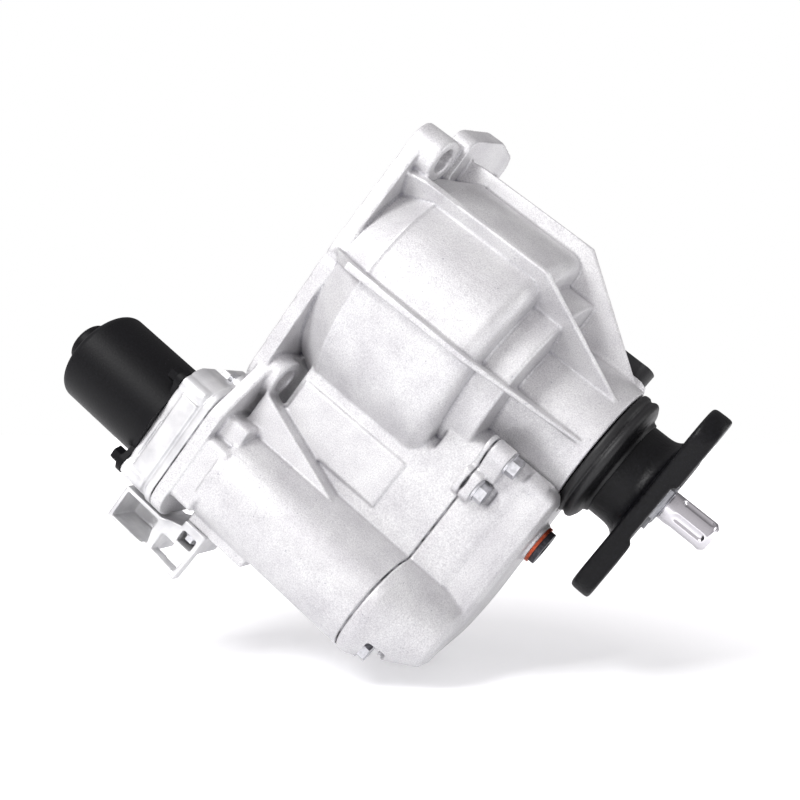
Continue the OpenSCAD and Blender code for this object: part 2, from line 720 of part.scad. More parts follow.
// Main shaft: gearbox spline socket, clutch splines, bearing journals and flange spline
module main_shaft() {
    color(steel) difference() {
        union() {
            rod(2, front_hub_end - 4, front_journal_r);
            rod(front_hub_end - 4.2, rear_bearing_x - 1.5, shaft_r);
            along(pack_x + 1, drum_end - 4.5)
                polygon(spline_points(shaft_r - 1, shaft_r + 1.5, spline_n, 0.5));
            rod(rear_bearing_x - 3, rear_bearing_x - 0.3, shaft_r + 2);
            rod(rear_bearing_x - 1.5, rear_bearing_x + rear_bearing_w + 0.3, rear_shaft_r);
            rod(rear_bearing_x + rear_bearing_w, nut_x + 0.4, spline_r);
            rod(nut_x, nut_x + nut_w + 0.5, spline_r - 2);
        }
        rod(1, 2 + input_bore_len, input_bore_r);
        rod(1.99, 3, input_bore_r + 1, main_c, input_bore_r);
        rod(nut_x - 18, nut_x + nut_w + eps, pin_r - 2.5 + seat);
    }
}

// Three-armed companion flange with machined pads and a flared neck
module output_flange() {
    arm = flange_pcd / 2;
    arm_c = [[0, arm, arm_r], [-8, 10, 24], [8, 10, 24]];
    color([0.12, 0.12, 0.13]) difference() {
        union() {
            rod(rear_bearing_x + rear_bearing_w + 0.8, tail_end, seal_r);
            rod(tail_end - 0.01, neck_x0, seal_r);
            turned() difference() {
                polygon([[0, neck_x0], [neck_r, neck_x0], [neck_r, arm_x0 - 7], [neck_r + 9, arm_x0 + 2],
                    [neck_r + 9, arm_x1], [0, arm_x1]]);
                translate([neck_r + 9, arm_x0 - 7]) circle(9);
            }
            for (i = [0 : 2]) rotate([arm_a + 120 * i, 0, 0]) {
                along(arm_x0, arm_x1) pebble(arm_c);
                along(arm_x1 - 0.01, arm_x1 + arm_pad) intersection() {
                    pebble(arm_c);
                    translate([-arm_r * 2, neck_r + 5.5]) square([arm_r * 4, arm * 2]);
                }
            }
        }
        rod(rear_bearing_x, nut_x, spline_r + seat);
        rod(nut_x, arm_x1 + arm_pad + eps, recess_r);
        for (i = [0 : 2]) rotate([arm_a + 120 * i, 0, 0])
            rod(arm_x0 - eps, arm_x1 + arm_pad + eps, flange_hole_r, [0, arm]);
    }
}

module flange_nut() {
    color(steel) difference() {
        union() {
            rod(nut_x, nut_x + 2, 20);
            translate([nut_x + 1.9, 0, 0]) rotate([0, 90, 0]) cylinder(h = nut_w - 2, r = 17.5, $fn = 6);
        }
        rod(nut_x - eps, nut_x + nut_w + eps, spline_r - 2 + seat);
        rod(nut_x - eps, nut_x + 0.5, spline_r + seat);
    }
}

// Polished pin that centres the propshaft, pressed into the shaft's end
module pilot_pin() {
    color(bright) difference() {
        union() {
            rod(nut_x - 17.5, nut_x + nut_w + 0.6, pin_r - 2.5);
            rod(nut_x + nut_w + 0.5, pin_x1 - 2.5, pin_r);
            rod(pin_x1 - 2.5, pin_x1, pin_r, main_c, pin_r - 2);
        }
        // long oval flutes for grease
        for (i = [0 : flute_n - 1]) rotate([29 + 360 / flute_n * i, 0, 0]) translate([0, 0, pin_r + 2]) {
            rod(pin_x1 - 20, pin_x1 - 6, flute_r);
            translate([pin_x1 - 20, 0, 0]) sphere(flute_r);
            translate([pin_x1 - 6, 0, 0]) sphere(flute_r);
        }
    }
}

// Pressed sheet-metal ring that keeps dirt off the seal
module dust_cover() {
    x = dust_x0;
    color([0.06, 0.06, 0.07]) difference() {
        turned() {
            polygon([[neck_r, x + 1.6], [dust_r - 3.5, x], [dust_r - 1, x], [dust_r, x + 1],
                [dust_r, x + 4], [dust_r - 2.2, x + 5.2], [dust_r - 2.2, x + 10.5],
                [dust_r - 4.5, x + 11.8], [neck_r + 1.4, x + 12.4], [neck_r + 0.8, x + dust_len],
                [neck_r, x + dust_len]]);
            translate([dust_r - 2.7, x + 7.8]) circle(2.7);
        }
        rod(x - eps, x + dust_len + eps, neck_r + seat);
    }
}

// Hub that carries the friction plates and drives the main shaft
module clutch_hub() {
    x0 = pack_x - 0.6;
    x1 = drum_end - drum_web - gap;
    color(steel) difference() {
        union() {
            along(x0, x1) polygon(spline_points(hub_r, hub_r + hub_spline, spline_n, 0.45));
            rod(x0, x1, hub_r);
        }
        rod(x0 - eps, x1 - 6, hub_r - 5);
        rod(x0 - eps, x1 + eps, shaft_r + seat);
        along(x0 - eps, x1 + eps)
            polygon(spline_points(shaft_r - 1, shaft_r + 1.5 + seat, spline_n, 0.52));
        for (i = [0 : 5]) rod(x0, x1 + eps, 2.5, polar(hub_r - 8, 60 * i));
    }
}

module friction_plates() {
    color([0.42, 0.36, 0.28]) for (i = [0 : friction_n - 1])
        along(pack_x + 2 * i * plate_pitch, pack_x + 2 * i * plate_pitch + clutch_plate_t)
            difference() {
                circle(drum_in - gap);
                polygon(spline_points(hub_r + fit, hub_r + hub_spline + fit, spline_n, 0.47));
                circle(hub_r + fit);
            }
}

module steel_plates() {
    color(steel) for (i = [0 : friction_n - 2])
        along(pack_x + (2 * i + 1) * plate_pitch, pack_x + (2 * i + 1) * plate_pitch + clutch_plate_t)
            difference() {
                union() {
                    circle(drum_in - fit);
                    polygon(spline_points(drum_in - eps, drum_in + 2 - fit, spline_n, 0.43));
                }
                circle(hub_r + hub_spline + gap);
            }
}

// Drum that carries the steel plates, with the sleeve that drives the front gears
module clutch_drum() {
    color(steel) difference() {
        union() {
            rod(drum_x0, drum_end, drum_r);
            rod(drum_end - eps, sleeve_end, sleeve_r);
            rod(drum_end, core_x1 + 1.2, sleeve_r + 3);
        }
        along(drum_x0 - eps, drum_end - drum_web) union() {
            circle(drum_in);
            polygon(spline_points(drum_in - eps, drum_in + 2, spline_n, 0.47));
        }
        rod(drum_x0, sleeve_end + eps, bush_r);
        for (i = [0 : spline_n - 1]) rotate([180 / spline_n * (2 * i + 1), 0, 0])
            translate([drum_x0 + 8, 0, drum_in - 4]) rotate([0, 0, 0]) cylinder(h = 12, r = 1.5);
    }
}

module drum_bush() {
    color([0.70, 0.55, 0.30]) tube(drum_end - drum_web, sleeve_end, bush_r - seat, shaft_r + fit);
}

module drive_gear() {
    color(steel) difference() {
        gear(drive_m, drive_z, train_a, gear_x0, drive_w, main_c);
        rod(gear_x0 - eps, gear_x0 + drive_w + eps, sleeve_r + seat);
    }
}

module drive_gear_ring() {
    color(steel) tube(core_x1 + drum_bearing_w + 1.8, gear_x0, sleeve_r + 2.5, sleeve_r + seat);
}

module idler_gear() {
    color(steel) difference() {
        gear(drive_m, idler_z, train_a + 180 + 180 / idler_z, gear_x0, drive_w, idler_c);
        rod(gear_x0 - eps, gear_x0 + drive_w + eps, idler_pin_r + fit, idler_c);
        turned(idler_c) translate([idler_r * 0.55, gear_x0]) square([5, 6], center = true);
        turned(idler_c) translate([idler_r * 0.55, gear_x0 + drive_w]) square([5, 6], center = true);
    }
}

module idler_pin() {
    color(bright) {
        rod(chamber_x0 - 9.5, cover_x0 + 7.5, idler_pin_r, idler_c);
        rod(gear_x0 + drive_w + gap, cover_x0, idler_pin_r + 4, idler_c);
    }
}

module front_output_shaft() {
    x0 = front_tube_x0 + 10;
    color(steel) difference() {
        union() {
            rod(front_end, x0 - 2, front_shaft_r + 3, front_c);
            rod(x0 - 2.2, x0 - 0.3, front_shaft_r + 5, front_c);
            rod(x0 - 0.5, cover_x0 + drive_w + 5, front_shaft_r, front_c);
            rod(gear_x0 - 4, gear_x0 - 0.2, front_shaft_r + 4, front_c);
        }
        rod(front_end - eps, front_end + front_bore_len, front_bore_r, front_c);
    }
}

module front_gear() {
    color(steel) difference() {
        gear(drive_m, drive_z, train_a + 180 + 180 / drive_z, gear_x0, drive_w, front_c);
        rod(gear_x0 - eps, gear_x0 + drive_w + eps, front_shaft_r + seat, front_c);
    }
}

module front_gear_ring() {
    color(steel) tube(gear_x0 + drive_w + seat, cover_x0 + 3.6, front_shaft_r + 3, front_shaft_r + seat,
        front_c);
}

module front_shaft_bearings() {
    color(steel) {
        ball_bearing(front_tube_x0 + 10, front_bearing2_w, front_bearing2_r, front_shaft_r, front_c, 9);
        ball_bearing(cover_x0 + 4, drive_w + 2, front_bearing2_r, front_shaft_r, front_c, 9);
    }
}

module front_shaft_seal() {
    color(dark) lip_seal(front_tube_x0 + 0.5, 7, front_bearing2_r, front_shaft_r + 3, front_c);
}

module thrust_bearing() {
    color(steel) tube(front_hub_end, front_hub_end + thrust_t, front_hub_r - 1, ring_in);
}

// Ring of the ball ramp with its long lever
module ramp_lever() {
    pin = roller_c;
    color(steel) difference() {
        union() {
            rod(lever_x, lever_x + ring_t, ring_out);
            along(lever_x, lever_x + ring_t) difference() {
                pebble([[act_dir[0] * 40 + 4, act_dir[1] * 40, 12], [pin[0], pin[1], roller_r - 2.5],
                    [act_dir[0] * 40 + 16, act_dir[1] * 40, 10]]);
            }
        }
        rod(lever_x - eps, lever_x + ring_t + eps, ring_in);
        // fork that holds the roller
        rod(lever_x + fork_t, lever_x + ring_t - fork_t, roller_r + 1, pin);
        rod(lever_x - eps, lever_x + ring_t + eps, 2 + seat, pin);
        for (i = [0 : ramp_ball_n - 1])
            ramp_groove(360 / ramp_ball_n * i - groove_sweep + groove_lead);
    }
}

// Short groove in a ramp ring, in which one ball rolls
module ramp_groove(a) {
    translate([ramp_ball_x, 0, 0]) rotate([a, 0, 0]) {
        rotate([0, 90, 0]) rotate_extrude(angle = groove_sweep) translate([ramp_r, 0])
            circle(ramp_ball_r + ball_gap);
        for (b = [0, groove_sweep]) rotate([b, 0, 0]) translate([0, 0, -ramp_r])
            sphere(ramp_ball_r + ball_gap);
    }
}

module slide_ramp() {
    color(steel) difference() {
        tube(slide_x, slide_x + slide_t, ring_out, ring_in);
        for (i = [0 : ramp_ball_n - 1]) ramp_groove(360 / ramp_ball_n * i - groove_lead);
    }
}

// Balls that roll between the two ramp rings
module ramp_balls() {
    color(bright) for (i = [0 : ramp_ball_n - 1]) rotate([360 / ramp_ball_n * i, 0, 0])
        translate([ramp_ball_x, 0, -ramp_r]) sphere(ramp_ball_r);
}

module lever_roller() {
    color(bright) tube(lever_x + fork_t + gap, lever_x + ring_t - fork_t - gap, roller_r, 2 + fit, roller_c);
}

module roller_pin() {
    color(steel) rod(lever_x, lever_x + ring_t, 2, roller_c);
}

module needle_race() {
    color(bright) tube(needle_x, needle_x + needle_t, drum_in - 2, ring_in);
}

module pressure_plate() {
    color(steel) along(pressure_x, pressure_x + pressure_t) difference() {
        union() {
            circle(drum_in - gap);
            polygon(spline_points(drum_in - eps, drum_in + 2 - gap, spline_n, 0.43));
        }
        circle(hub_r + hub_spline + 2);
    }
}

// Shaft that turns the cam, driven by the actuator gear
module actuator_shaft() {
    color(steel) {
        rod(act_x0, act_x1 - 1, act_shaft_r, act_c);
        rod(act_seat_x1 + gap, lever_x - 1, act_shaft_r + 3, act_c);
    }
}

// Cam that pushes the lever's roller aside: its radius grows evenly over the lift
module spread_cam() {
    a0 = atan2(act_side[1], act_side[0]);
    function cam_at(a) = cam_r + cam_rise * (a <= cam_sweep ? a / cam_sweep :
        a <= cam_sweep + 30 ? 1 : a <= 330 ? (330 - a) / (300 - cam_sweep) : 0);
    color(steel) difference() {
        translate([0, act_c[0], act_c[1]]) along(lever_x + 1, lever_x + ring_t - 1)
            polygon([for (a = [0 : 6 : 354]) polar(cam_at(a), a0 + a)]);
        rod(lever_x, lever_x + ring_t, act_shaft_r + seat, act_c);
    }
}

module actuator_gear() {
    color(steel) difference() {
        gear(act_m, act_gear_z, lay_a, out_gear_x, out_gear_w, act_c);
        rod(out_gear_x - eps, out_gear_x + out_gear_w + eps, act_shaft_r + seat, act_c);
    }
}

module actuator_bearings() {
    color(bright) {
        ball_bearing(gearcase_x + gasket_t, act_bearing_w, act_bearing_r, act_shaft_r, act_c, 8);
        ball_bearing(act_x1 - act_bearing_w, act_bearing_w, act_bearing_r, act_shaft_r, act_c, 8);
    }
}

// Two-step gear between the motor pinion and the actuator gear
module layshaft() {
    color(bright) difference() {
        union() {
            gear(act_m, lay_z, lay_a + 180 + 180 / lay_z, pinion_x, pinion_w, lay_c);
            rod(pinion_x + pinion_w - 0.1, out_gear_x + 0.1, 5.5, lay_c);
            gear(act_m, lay_small_z, lay_a + 180 + 180 / lay_small_z, out_gear_x, out_gear_w, lay_c);
        }
        rod(pinion_x - eps, out_gear_x + out_gear_w + eps, lay_pin_r + fit, lay_c);
    }
}

module layshaft_pin() {
    color(bright) rod(gearcase_x0 + 0.5, gearcase_x + gasket_t + 4, lay_pin_r, lay_c);
}

// Die-cast case of the reduction gears
module actuator_gearcase() {
    color(cast) difference() {
        union() {
            along(gearcase_x0, gearcase_x) pebble(grow(gearcase_c, -1));
            along(gearcase_x - 4, gearcase_x) pebble(gearcase_c);
            for (c = gearcase_bolt_c) rod(gearcase_x - 9, gearcase_x, 6, c);
            for (a = motor_bolt_a) rod(gearcase_x0, gearcase_x - 6, 6, act_c + polar(motor_bolt_r, a));
            // raised panel on the near face
            block([gearcase_x0 + 5, gearcase_c[0][0] - 15.6, gearcase_c[1][1]],
                [gearcase_x - 6, gearcase_c[0][0], gearcase_c[0][1]]);
        }
        along(gearcase_x0 + gearcase_floor, gearcase_x + eps)
            pebble([[lay_c[0], lay_c[1], lay_r + 2], [act_c[0], act_c[1], lay_r + 1]]);
        rod(gearcase_x0 - eps, gearcase_x, 9, act_c);
        rod(gearcase_x0 + 0.5, gearcase_x, lay_pin_r + seat, lay_c);
        for (c = gearcase_bolt_c) {
            rod(gearcase_x - 10, gearcase_x + eps, 2.6, c);
            rod(gearcase_x0 - eps, gearcase_x - 9, 5.6, c);
        }
        for (a = motor_bolt_a) rod(gearcase_x0 - eps, gearcase_x0 + 9, 2.6, act_c + polar(motor_bolt_r, a));
        // slit beside the raised panel
        block([gearcase_x0 + 3, gearcase_c[0][0] - 16, act_c[1] - 18],
            [gearcase_x0 + 4.2, gearcase_c[0][0] - 12.5, act_c[1] + 5]);
    }
}

module gearcase_gasket() {
    color(dark) along(gearcase_x, gearcase_x + gasket_t) difference() {
        union() {
            pebble(grow(gearcase_c, -0.3));
            for (c = gearcase_bolt_c) translate(c) circle(5.7);
        }
        pebble([[lay_c[0], lay_c[1], lay_r + 2], [act_c[0], act_c[1], lay_r + 1]]);
        for (c = gearcase_bolt_c) translate(c) circle(2.6);
    }
}

module gearcase_bolts() {
    color(bright) for (c = gearcase_bolt_c) hex_bolt(c, gearcase_x - 9, 4, 4.5, 2.5, 15.5, 1);
}

// Deep-drawn motor can with its bearing boss
module motor_can() {
    r = can_round;
    color([0.07, 0.07, 0.08]) difference() {
        union() {
            turned(act_c) difference() {
                union() {
                    polygon([[0, can_x0], [can_r - r, can_x0], [can_r, can_x0 + r], [can_r, can_x1],
                        [0, can_x1]]);
                    translate([can_r - r, can_x0 + r]) circle(r);
                }
                translate([-can_r, can_x0]) square([can_r, can_len]);
            }
            turned(act_c) difference() {
                union() {
                    polygon([[0, can_x0 - can_boss_len], [can_boss_r - 3, can_x0 - can_boss_len],
                        [can_boss_r, can_x0 - can_boss_len + 3], [can_boss_r, can_x0 + 1], [0, can_x0 + 1]]);
                    translate([can_boss_r - 3, can_x0 - can_boss_len + 3]) circle(3);
                }
                translate([-can_boss_r, can_x0 - can_boss_len]) square([can_boss_r, can_boss_len + 1]);
            }
        }
        rod(can_x0 + can_wall + 2, can_x1 + eps, can_r - can_wall, act_c);
        rod(can_x0 - can_boss_len + 4, can_x1, rotor_shaft_r + fit, act_c);
    }
}

module motor_plate() {
    color([0.06, 0.06, 0.06]) difference() {
        along(can_x1, gearcase_x0) {
            translate(act_c) circle(can_r + 2);
            for (a = motor_bolt_a) let (b = act_c + polar(motor_bolt_r, a), m = act_c + polar(14, a))
                pebble([[m[0], m[1], 12], [b[0], b[1], 6.5]]);
        }
        rod(can_x1 - eps, gearcase_x0 + eps, rotor_shaft_r + fit, act_c);
        for (a = motor_bolt_a) rod(can_x1 - eps, gearcase_x0 + eps, 2.6, act_c + polar(motor_bolt_r, a));
    }
}

module motor_bolts() {
    color(dark) for (a = motor_bolt_a)
        hex_bolt(act_c + polar(motor_bolt_r, a), can_x1, 4.4, 6.5, 2.5, 11, 1);
}

module motor_magnets() {
    color([0.20, 0.20, 0.22]) difference() {
        tube(can_x0 + 12, can_x1 - 8, can_r - can_wall - seat, magnet_r, act_c);
        for (s = [0, 90]) translate([can_x0, act_c[0], act_c[1]]) rotate([45 + s, 0, 0])
            block([0, -can_r, -3], [can_len, can_r, 3]);
    }
}

// Motor armature with its shaft and pinion
module motor_rotor() {
    color([0.55, 0.38, 0.24]) {
        rod(can_x0 - can_boss_len + 6, pinion_x + pinion_w, rotor_shaft_r, act_c);
        rod(can_x0 + 13, can_x1 - 9, magnet_r - 0.8, act_c);
        rod(can_x1 - 7, can_x1 - 2.5, 9, act_c);
        gear(act_m, pinion_z, lay_a, pinion_x, pinion_w, act_c);
    }
}

// Cast foot below the gearcase
module support_bracket() {
    y0 = act_c[0] - 14;
    y1 = y0 + bracket_depth;
    top = bracket_top;
    low = top - 29.5;
    color(cast) difference() {
        translate([0, y1, 0]) rotate([90, 0, 0]) difference() {
        linear_extrude(bracket_depth) polygon([[-15, top - 8.5], [12, top - 8.5], [17, top - 6],
            [case_x0, top - 4], [case_x0, top], [39, top], [37.5, low - 1], [34, low], [9, low + 1.5],
            [-15, low + 0.5]]);
        // pocket on the left, panel and hole on the right
        translate([0, 0, bracket_wall]) linear_extrude(bracket_depth)
            polygon([[-12.5, top - 12], [9, top - 11], [13.5, low + 4], [-12.5, low + 3.5]]);
        translate([0, 0, bracket_wall]) linear_extrude(bracket_depth)
            polygon([[case_x0 + 2, top - 5], [36, top - 5], [36, top - 12], [case_x0 + 2, top - 12]]);
        translate([0, 0, -eps]) linear_extrude(bracket_depth + 2 * eps)
            polygon([[22, top - 14.5], [36, top - 14.5], [35, low + 3], [22, low + 4]]);
        }
        for (y = bracket_bolt_y) translate([bracket_bolt_x, y, top - 6]) cylinder(h = 8, r = 2.5);
    }
}

module bracket_bolts() {
    color(bright) for (y = bracket_bolt_y) translate([bracket_bolt_x, y, bracket_top - 5]) {
        translate([0, 0, -4]) cylinder(h = 4, r = 4, $fn = 6);
        translate([0, 0, -1]) cylinder(h = 1, r = 4.8);
        cylinder(h = 16, r = 2.4);
    }
}

// Speed sensor with its elbow connector, in the tail behind the top rib
module speed_sensor() {
    color(dark) rotate([-sensor_a, 0, 0]) {
        difference() {
            union() {
                translate([sensor_x, 0, tail_r - 4]) cylinder(h = 16, r = 4.6);
                translate([sensor_x, 0, tail_r + 4]) cylinder(h = 9, r = 5.8);
                block([sensor_x - 15, -4.5, tail_r + 6.5], [sensor_x, 4.5, tail_r + 13.5]);
            }
            block([sensor_x - 16, -3, tail_r + 8], [sensor_x - 8, 3, tail_r + 12]);
        }
    }
}

main_housing();
rear_cover();
cover_gasket();
cover_bolts();
drain_plug();
drain_washer();
front_bearing_plate();
plate_snap_ring();
input_seal();
front_main_bearing();
drum_bearing();
rear_main_bearing();
rear_snap_ring();
rear_seal();
main_shaft();
output_flange();
flange_nut();
pilot_pin();
dust_cover();
clutch_hub();
friction_plates();
clutch_drum();
steel_plates();
drum_bush();
drive_gear();
drive_gear_ring();
idler_gear();
idler_pin();
front_output_shaft();
front_gear();
front_gear_ring();
front_shaft_bearings();
front_shaft_seal();
thrust_bearing();
ramp_lever();
lever_roller();
roller_pin();
ramp_balls();
slide_ramp();
needle_race();
pressure_plate();
actuator_shaft();
spread_cam();
actuator_gear();
actuator_bearings();
layshaft();
layshaft_pin();
actuator_gearcase();
gearcase_gasket();
gearcase_bolts();
motor_can();
motor_plate();
motor_bolts();
motor_magnets();
motor_rotor();
support_bracket();
bracket_bolts();
speed_sensor();
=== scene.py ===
import math
import bpy
from mathutils import Matrix, Vector


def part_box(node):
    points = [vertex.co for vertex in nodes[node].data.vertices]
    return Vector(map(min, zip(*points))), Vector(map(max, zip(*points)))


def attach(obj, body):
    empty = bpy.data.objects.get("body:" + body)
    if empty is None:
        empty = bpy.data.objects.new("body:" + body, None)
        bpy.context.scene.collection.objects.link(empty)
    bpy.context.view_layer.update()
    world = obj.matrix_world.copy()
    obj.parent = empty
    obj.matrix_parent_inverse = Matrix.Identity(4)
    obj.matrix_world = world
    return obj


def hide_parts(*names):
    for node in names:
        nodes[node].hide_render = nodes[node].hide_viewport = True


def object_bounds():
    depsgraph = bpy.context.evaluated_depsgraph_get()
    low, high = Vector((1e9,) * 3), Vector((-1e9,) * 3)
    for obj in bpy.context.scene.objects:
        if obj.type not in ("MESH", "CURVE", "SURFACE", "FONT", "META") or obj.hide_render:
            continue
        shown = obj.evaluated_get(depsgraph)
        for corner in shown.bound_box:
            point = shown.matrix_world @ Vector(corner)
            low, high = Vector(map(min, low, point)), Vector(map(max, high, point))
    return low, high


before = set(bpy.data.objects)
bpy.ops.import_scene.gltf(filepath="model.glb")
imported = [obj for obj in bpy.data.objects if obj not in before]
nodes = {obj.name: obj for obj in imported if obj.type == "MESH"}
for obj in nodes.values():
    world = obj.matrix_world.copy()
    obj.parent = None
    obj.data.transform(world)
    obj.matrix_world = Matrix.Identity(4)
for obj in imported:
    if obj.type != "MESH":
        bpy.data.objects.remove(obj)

cad_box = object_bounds()
bpy.ops.object.select_all(action="DESELECT")

# Camera: it looks from the near side, a little above the shaft and towards the gearbox end, and is
# rolled so that the shaft runs down to the right, as in the photograph.
camera_spot = Vector((0.2107, -0.5594, 0.0649))
camera_back = Vector((0.2541, -0.9482, 0.1908)).normalized()
camera_level = Vector((0.9659, 0.2588, 0.0)).normalized()
camera_rise = camera_back.cross(camera_level)
camera_roll = math.radians(37)
picture_right = camera_level * math.cos(camera_roll) + camera_rise * math.sin(camera_roll)
picture_up = camera_rise * math.cos(camera_roll) - camera_level * math.sin(camera_roll)
camera_data = bpy.data.cameras.new("camera")
camera_data.lens = 47.7
camera_data.sensor_width = 36
camera_data.clip_start = 0.01
camera_data.clip_end = 20
camera = bpy.data.objects.new("camera", camera_data)
turn = Matrix((picture_right, picture_up, camera_back)).transposed().to_4x4()
camera.matrix_world = Matrix.Translation(camera_spot) @ turn
bpy.context.scene.collection.objects.link(camera)
bpy.context.scene.camera = camera


# Case: the shell that bolts to the gearbox and holds shafts, clutch and gears, with a plate of the
# same make round its front bearing. It is sand-cast aluminium, shot-blasted after casting. The CAD
# node carries its shape, and its skin is remeshed and smoothed to the soft corners of a casting.
def linear(hex_colour):
    parts = [int(hex_colour[i:i + 2], 16) / 255 for i in (1, 3, 5)]
    return [c / 12.92 if c <= 0.04045 else ((c + 0.055) / 1.055) ** 2.4 for c in parts] + [1]


def add(owner, kind, wires=None, stops=None, **settings):
    node = owner.node_tree.nodes.new(kind)
    for name, value in settings.items():
        if hasattr(node, name):
            setattr(node, name, value)
        else:
            node.inputs[name.replace("_", " ")].default_value = value
    for name, socket in (wires or {}).items():
        owner.node_tree.links.new(socket, node.inputs[name])
    for i, (place, colour) in enumerate(stops or []):
        stop = node.color_ramp.elements[i] if i < 2 else node.color_ramp.elements.new(place)
        stop.position = place
        stop.color = colour
    return node


def start(name):
    material = bpy.data.materials.new(name)
    material.use_nodes = True
    material.node_tree.nodes.clear()
    return material


def wear(material, *names):
    for name in names:
        nodes[name].data.materials.clear()
        nodes[name].data.materials.append(material)


# To the eye the casting is silver-white and matt, with a fine grain, faint stains and pores. Its
# creases and hollows are darkened by painted shade read from the mesh's pointiness. Grain 0.7 mm,
# drawn coarser than the real 0.2 mm so that it shows, stains 20 mm, pores 1.6 mm.
cast = start("Shot-blasted cast aluminium")
place = add(cast, "ShaderNodeTexCoord").outputs["Object"]
grain = add(cast, "ShaderNodeTexNoise", {"Vector": place}, Scale=1500, Detail=3, Roughness=0.6)
cloud = add(cast, "ShaderNodeTexNoise", {"Vector": place}, Scale=50, Detail=4, Roughness=0.55)
pores = add(cast, "ShaderNodeTexNoise", {"Vector": place}, Scale=620, Detail=2, Roughness=0.5)
tone = add(cast, "ShaderNodeValToRGB", {"Fac": grain.outputs["Fac"]}, [
    (0.30, linear("#CBCACC")), (0.62, linear("#E8E8E8")), (0.75, linear("#F6F6F6"))])
stain = add(cast, "ShaderNodeValToRGB", {"Fac": cloud.outputs["Fac"]}, [
    (0.30, linear("#EBEAEC")), (0.65, linear("#FFFFFF"))])
speck = add(cast, "ShaderNodeValToRGB", {"Fac": pores.outputs["Fac"]}, [
    (0.24, linear("#C6C6CE")), (0.31, linear("#FFFFFF"))])
aged = add(cast, "ShaderNodeMix", {6: tone.outputs["Color"], 7: stain.outputs["Color"]},
           data_type="RGBA", blend_type="MULTIPLY", Factor=1.0)
pitted = add(cast, "ShaderNodeMix", {6: aged.outputs[2], 7: speck.outputs["Color"]},
             data_type="RGBA", blend_type="MULTIPLY", Factor=0.8)
# Painted shade: concave corners and creases, found by pointiness, are darkened in the colour.
form = add(cast, "ShaderNodeNewGeometry")
painted_crease_shade = add(cast, "ShaderNodeValToRGB", {"Fac": form.outputs["Pointiness"]}, [
    (0.43, linear("#9A99A2")), (0.493, linear("#FDFDFD")), (0.52, linear("#FFFFFF"))])
shaded = add(cast, "ShaderNodeMix", {6: pitted.outputs[2], 7: painted_crease_shade.outputs["Color"]},
             data_type="RGBA", blend_type="MULTIPLY", Factor=1.0)
gloss = add(cast, "ShaderNodeMapRange", {"Value": grain.outputs["Fac"]},
            From_Min=0.3, From_Max=0.7, To_Min=0.58, To_Max=0.42)
relief = add(cast, "ShaderNodeBump", {"Height": grain.outputs["Fac"]},
             Strength=0.5, Distance=0.00028)
waves = add(cast, "ShaderNodeBump",
            {"Height": cloud.outputs["Fac"], "Normal": relief.outputs["Normal"]},
            Strength=0.25, Distance=0.002)
skin = add(cast, "ShaderNodeBsdfPrincipled", {
    "Base Color": shaded.outputs[2], "Roughness": gloss.outputs["Result"],
    "Normal": waves.outputs["Normal"]}, Metallic=0.6)
add(cast, "ShaderNodeOutputMaterial", {"Surface": skin.outputs["BSDF"]})
wear(cast, "main_housing", "front_bearing_plate")

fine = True


def soften(shell, voxel, rounds, keep, quick_voxel, quick_rounds):
    remesh = shell.modifiers.new("skin", "REMESH")
    remesh.mode = "VOXEL"
    remesh.voxel_size = voxel if fine else quick_voxel
    remesh.use_smooth_shade = True
    smooth = shell.modifiers.new("round", "SMOOTH")
    smooth.factor = 0.5
    smooth.iterations = rounds if fine else quick_rounds
    if fine and keep < 1:
        thin = shell.modifiers.new("thin", "DECIMATE")
        thin.ratio = keep


soften(nodes["main_housing"], voxel=0.0008, rounds=3, keep=0.17, quick_voxel=0.002, quick_rounds=3)


# Cover: it closes the rear of the case over the gears and is cast and blasted as the case is. A
# copy of its CAD node has the niche of the lowest screw opened towards the near side, with drafted
# walls, and then gets the same soft skin.
def blank(name, node_name):
    piece = bpy.data.objects.new(name, nodes[node_name].data.copy())
    bpy.context.scene.collection.objects.link(piece)
    bpy.ops.object.select_all(action="DESELECT")
    bpy.context.view_layer.objects.active = piece
    piece.select_set(True)
    bpy.ops.object.mode_set(mode="EDIT")
    bpy.ops.mesh.select_all(action="SELECT")
    bpy.ops.mesh.remove_doubles(threshold=0.000001)
    bpy.ops.object.mode_set(mode="OBJECT")
    return piece


# Cuts a box from low to high out of a piece. Its near face may be shifted and scaled for a draft.
def carve(piece, low, high, near_shift=(0, 0, 0), near_scale=1):
    near_normal = -0.9
    low, high = Vector(low), Vector(high)
    bpy.ops.object.select_all(action="DESELECT")
    bpy.ops.mesh.primitive_cube_add(size=1, location=(low + high) / 2, scale=high - low)
    pocket = bpy.context.object
    bpy.ops.object.transform_apply(location=True, rotation=True, scale=True)
    bpy.ops.object.mode_set(mode="EDIT")
    bpy.ops.mesh.select_mode(type="FACE")
    bpy.ops.mesh.select_all(action="DESELECT")
    bpy.ops.object.mode_set(mode="OBJECT")
    for face in pocket.data.polygons:
        face.select = face.normal.y < near_normal
    bpy.ops.object.mode_set(mode="EDIT")
    bpy.ops.transform.resize(value=(near_scale, 1, near_scale))
    bpy.ops.transform.translate(value=near_shift)
    bpy.ops.object.mode_set(mode="OBJECT")
    cut = piece.modifiers.new("pocket", "BOOLEAN")
    cut.operation = "DIFFERENCE"
    cut.object = pocket
    cut.solver = "EXACT"
    bpy.context.view_layer.objects.active = piece
    bpy.ops.object.modifier_apply(modifier="pocket")
    bpy.data.objects.remove(pocket)


def finish_skin(piece, material, body, node_name):
    piece.data.materials.clear()
    piece.data.materials.append(material)
    bpy.context.view_layer.objects.active = piece
    for step in [modifier.name for modifier in piece.modifiers]:
        bpy.ops.object.modifier_apply(modifier=step)
    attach(piece, body)
    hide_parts(node_name)


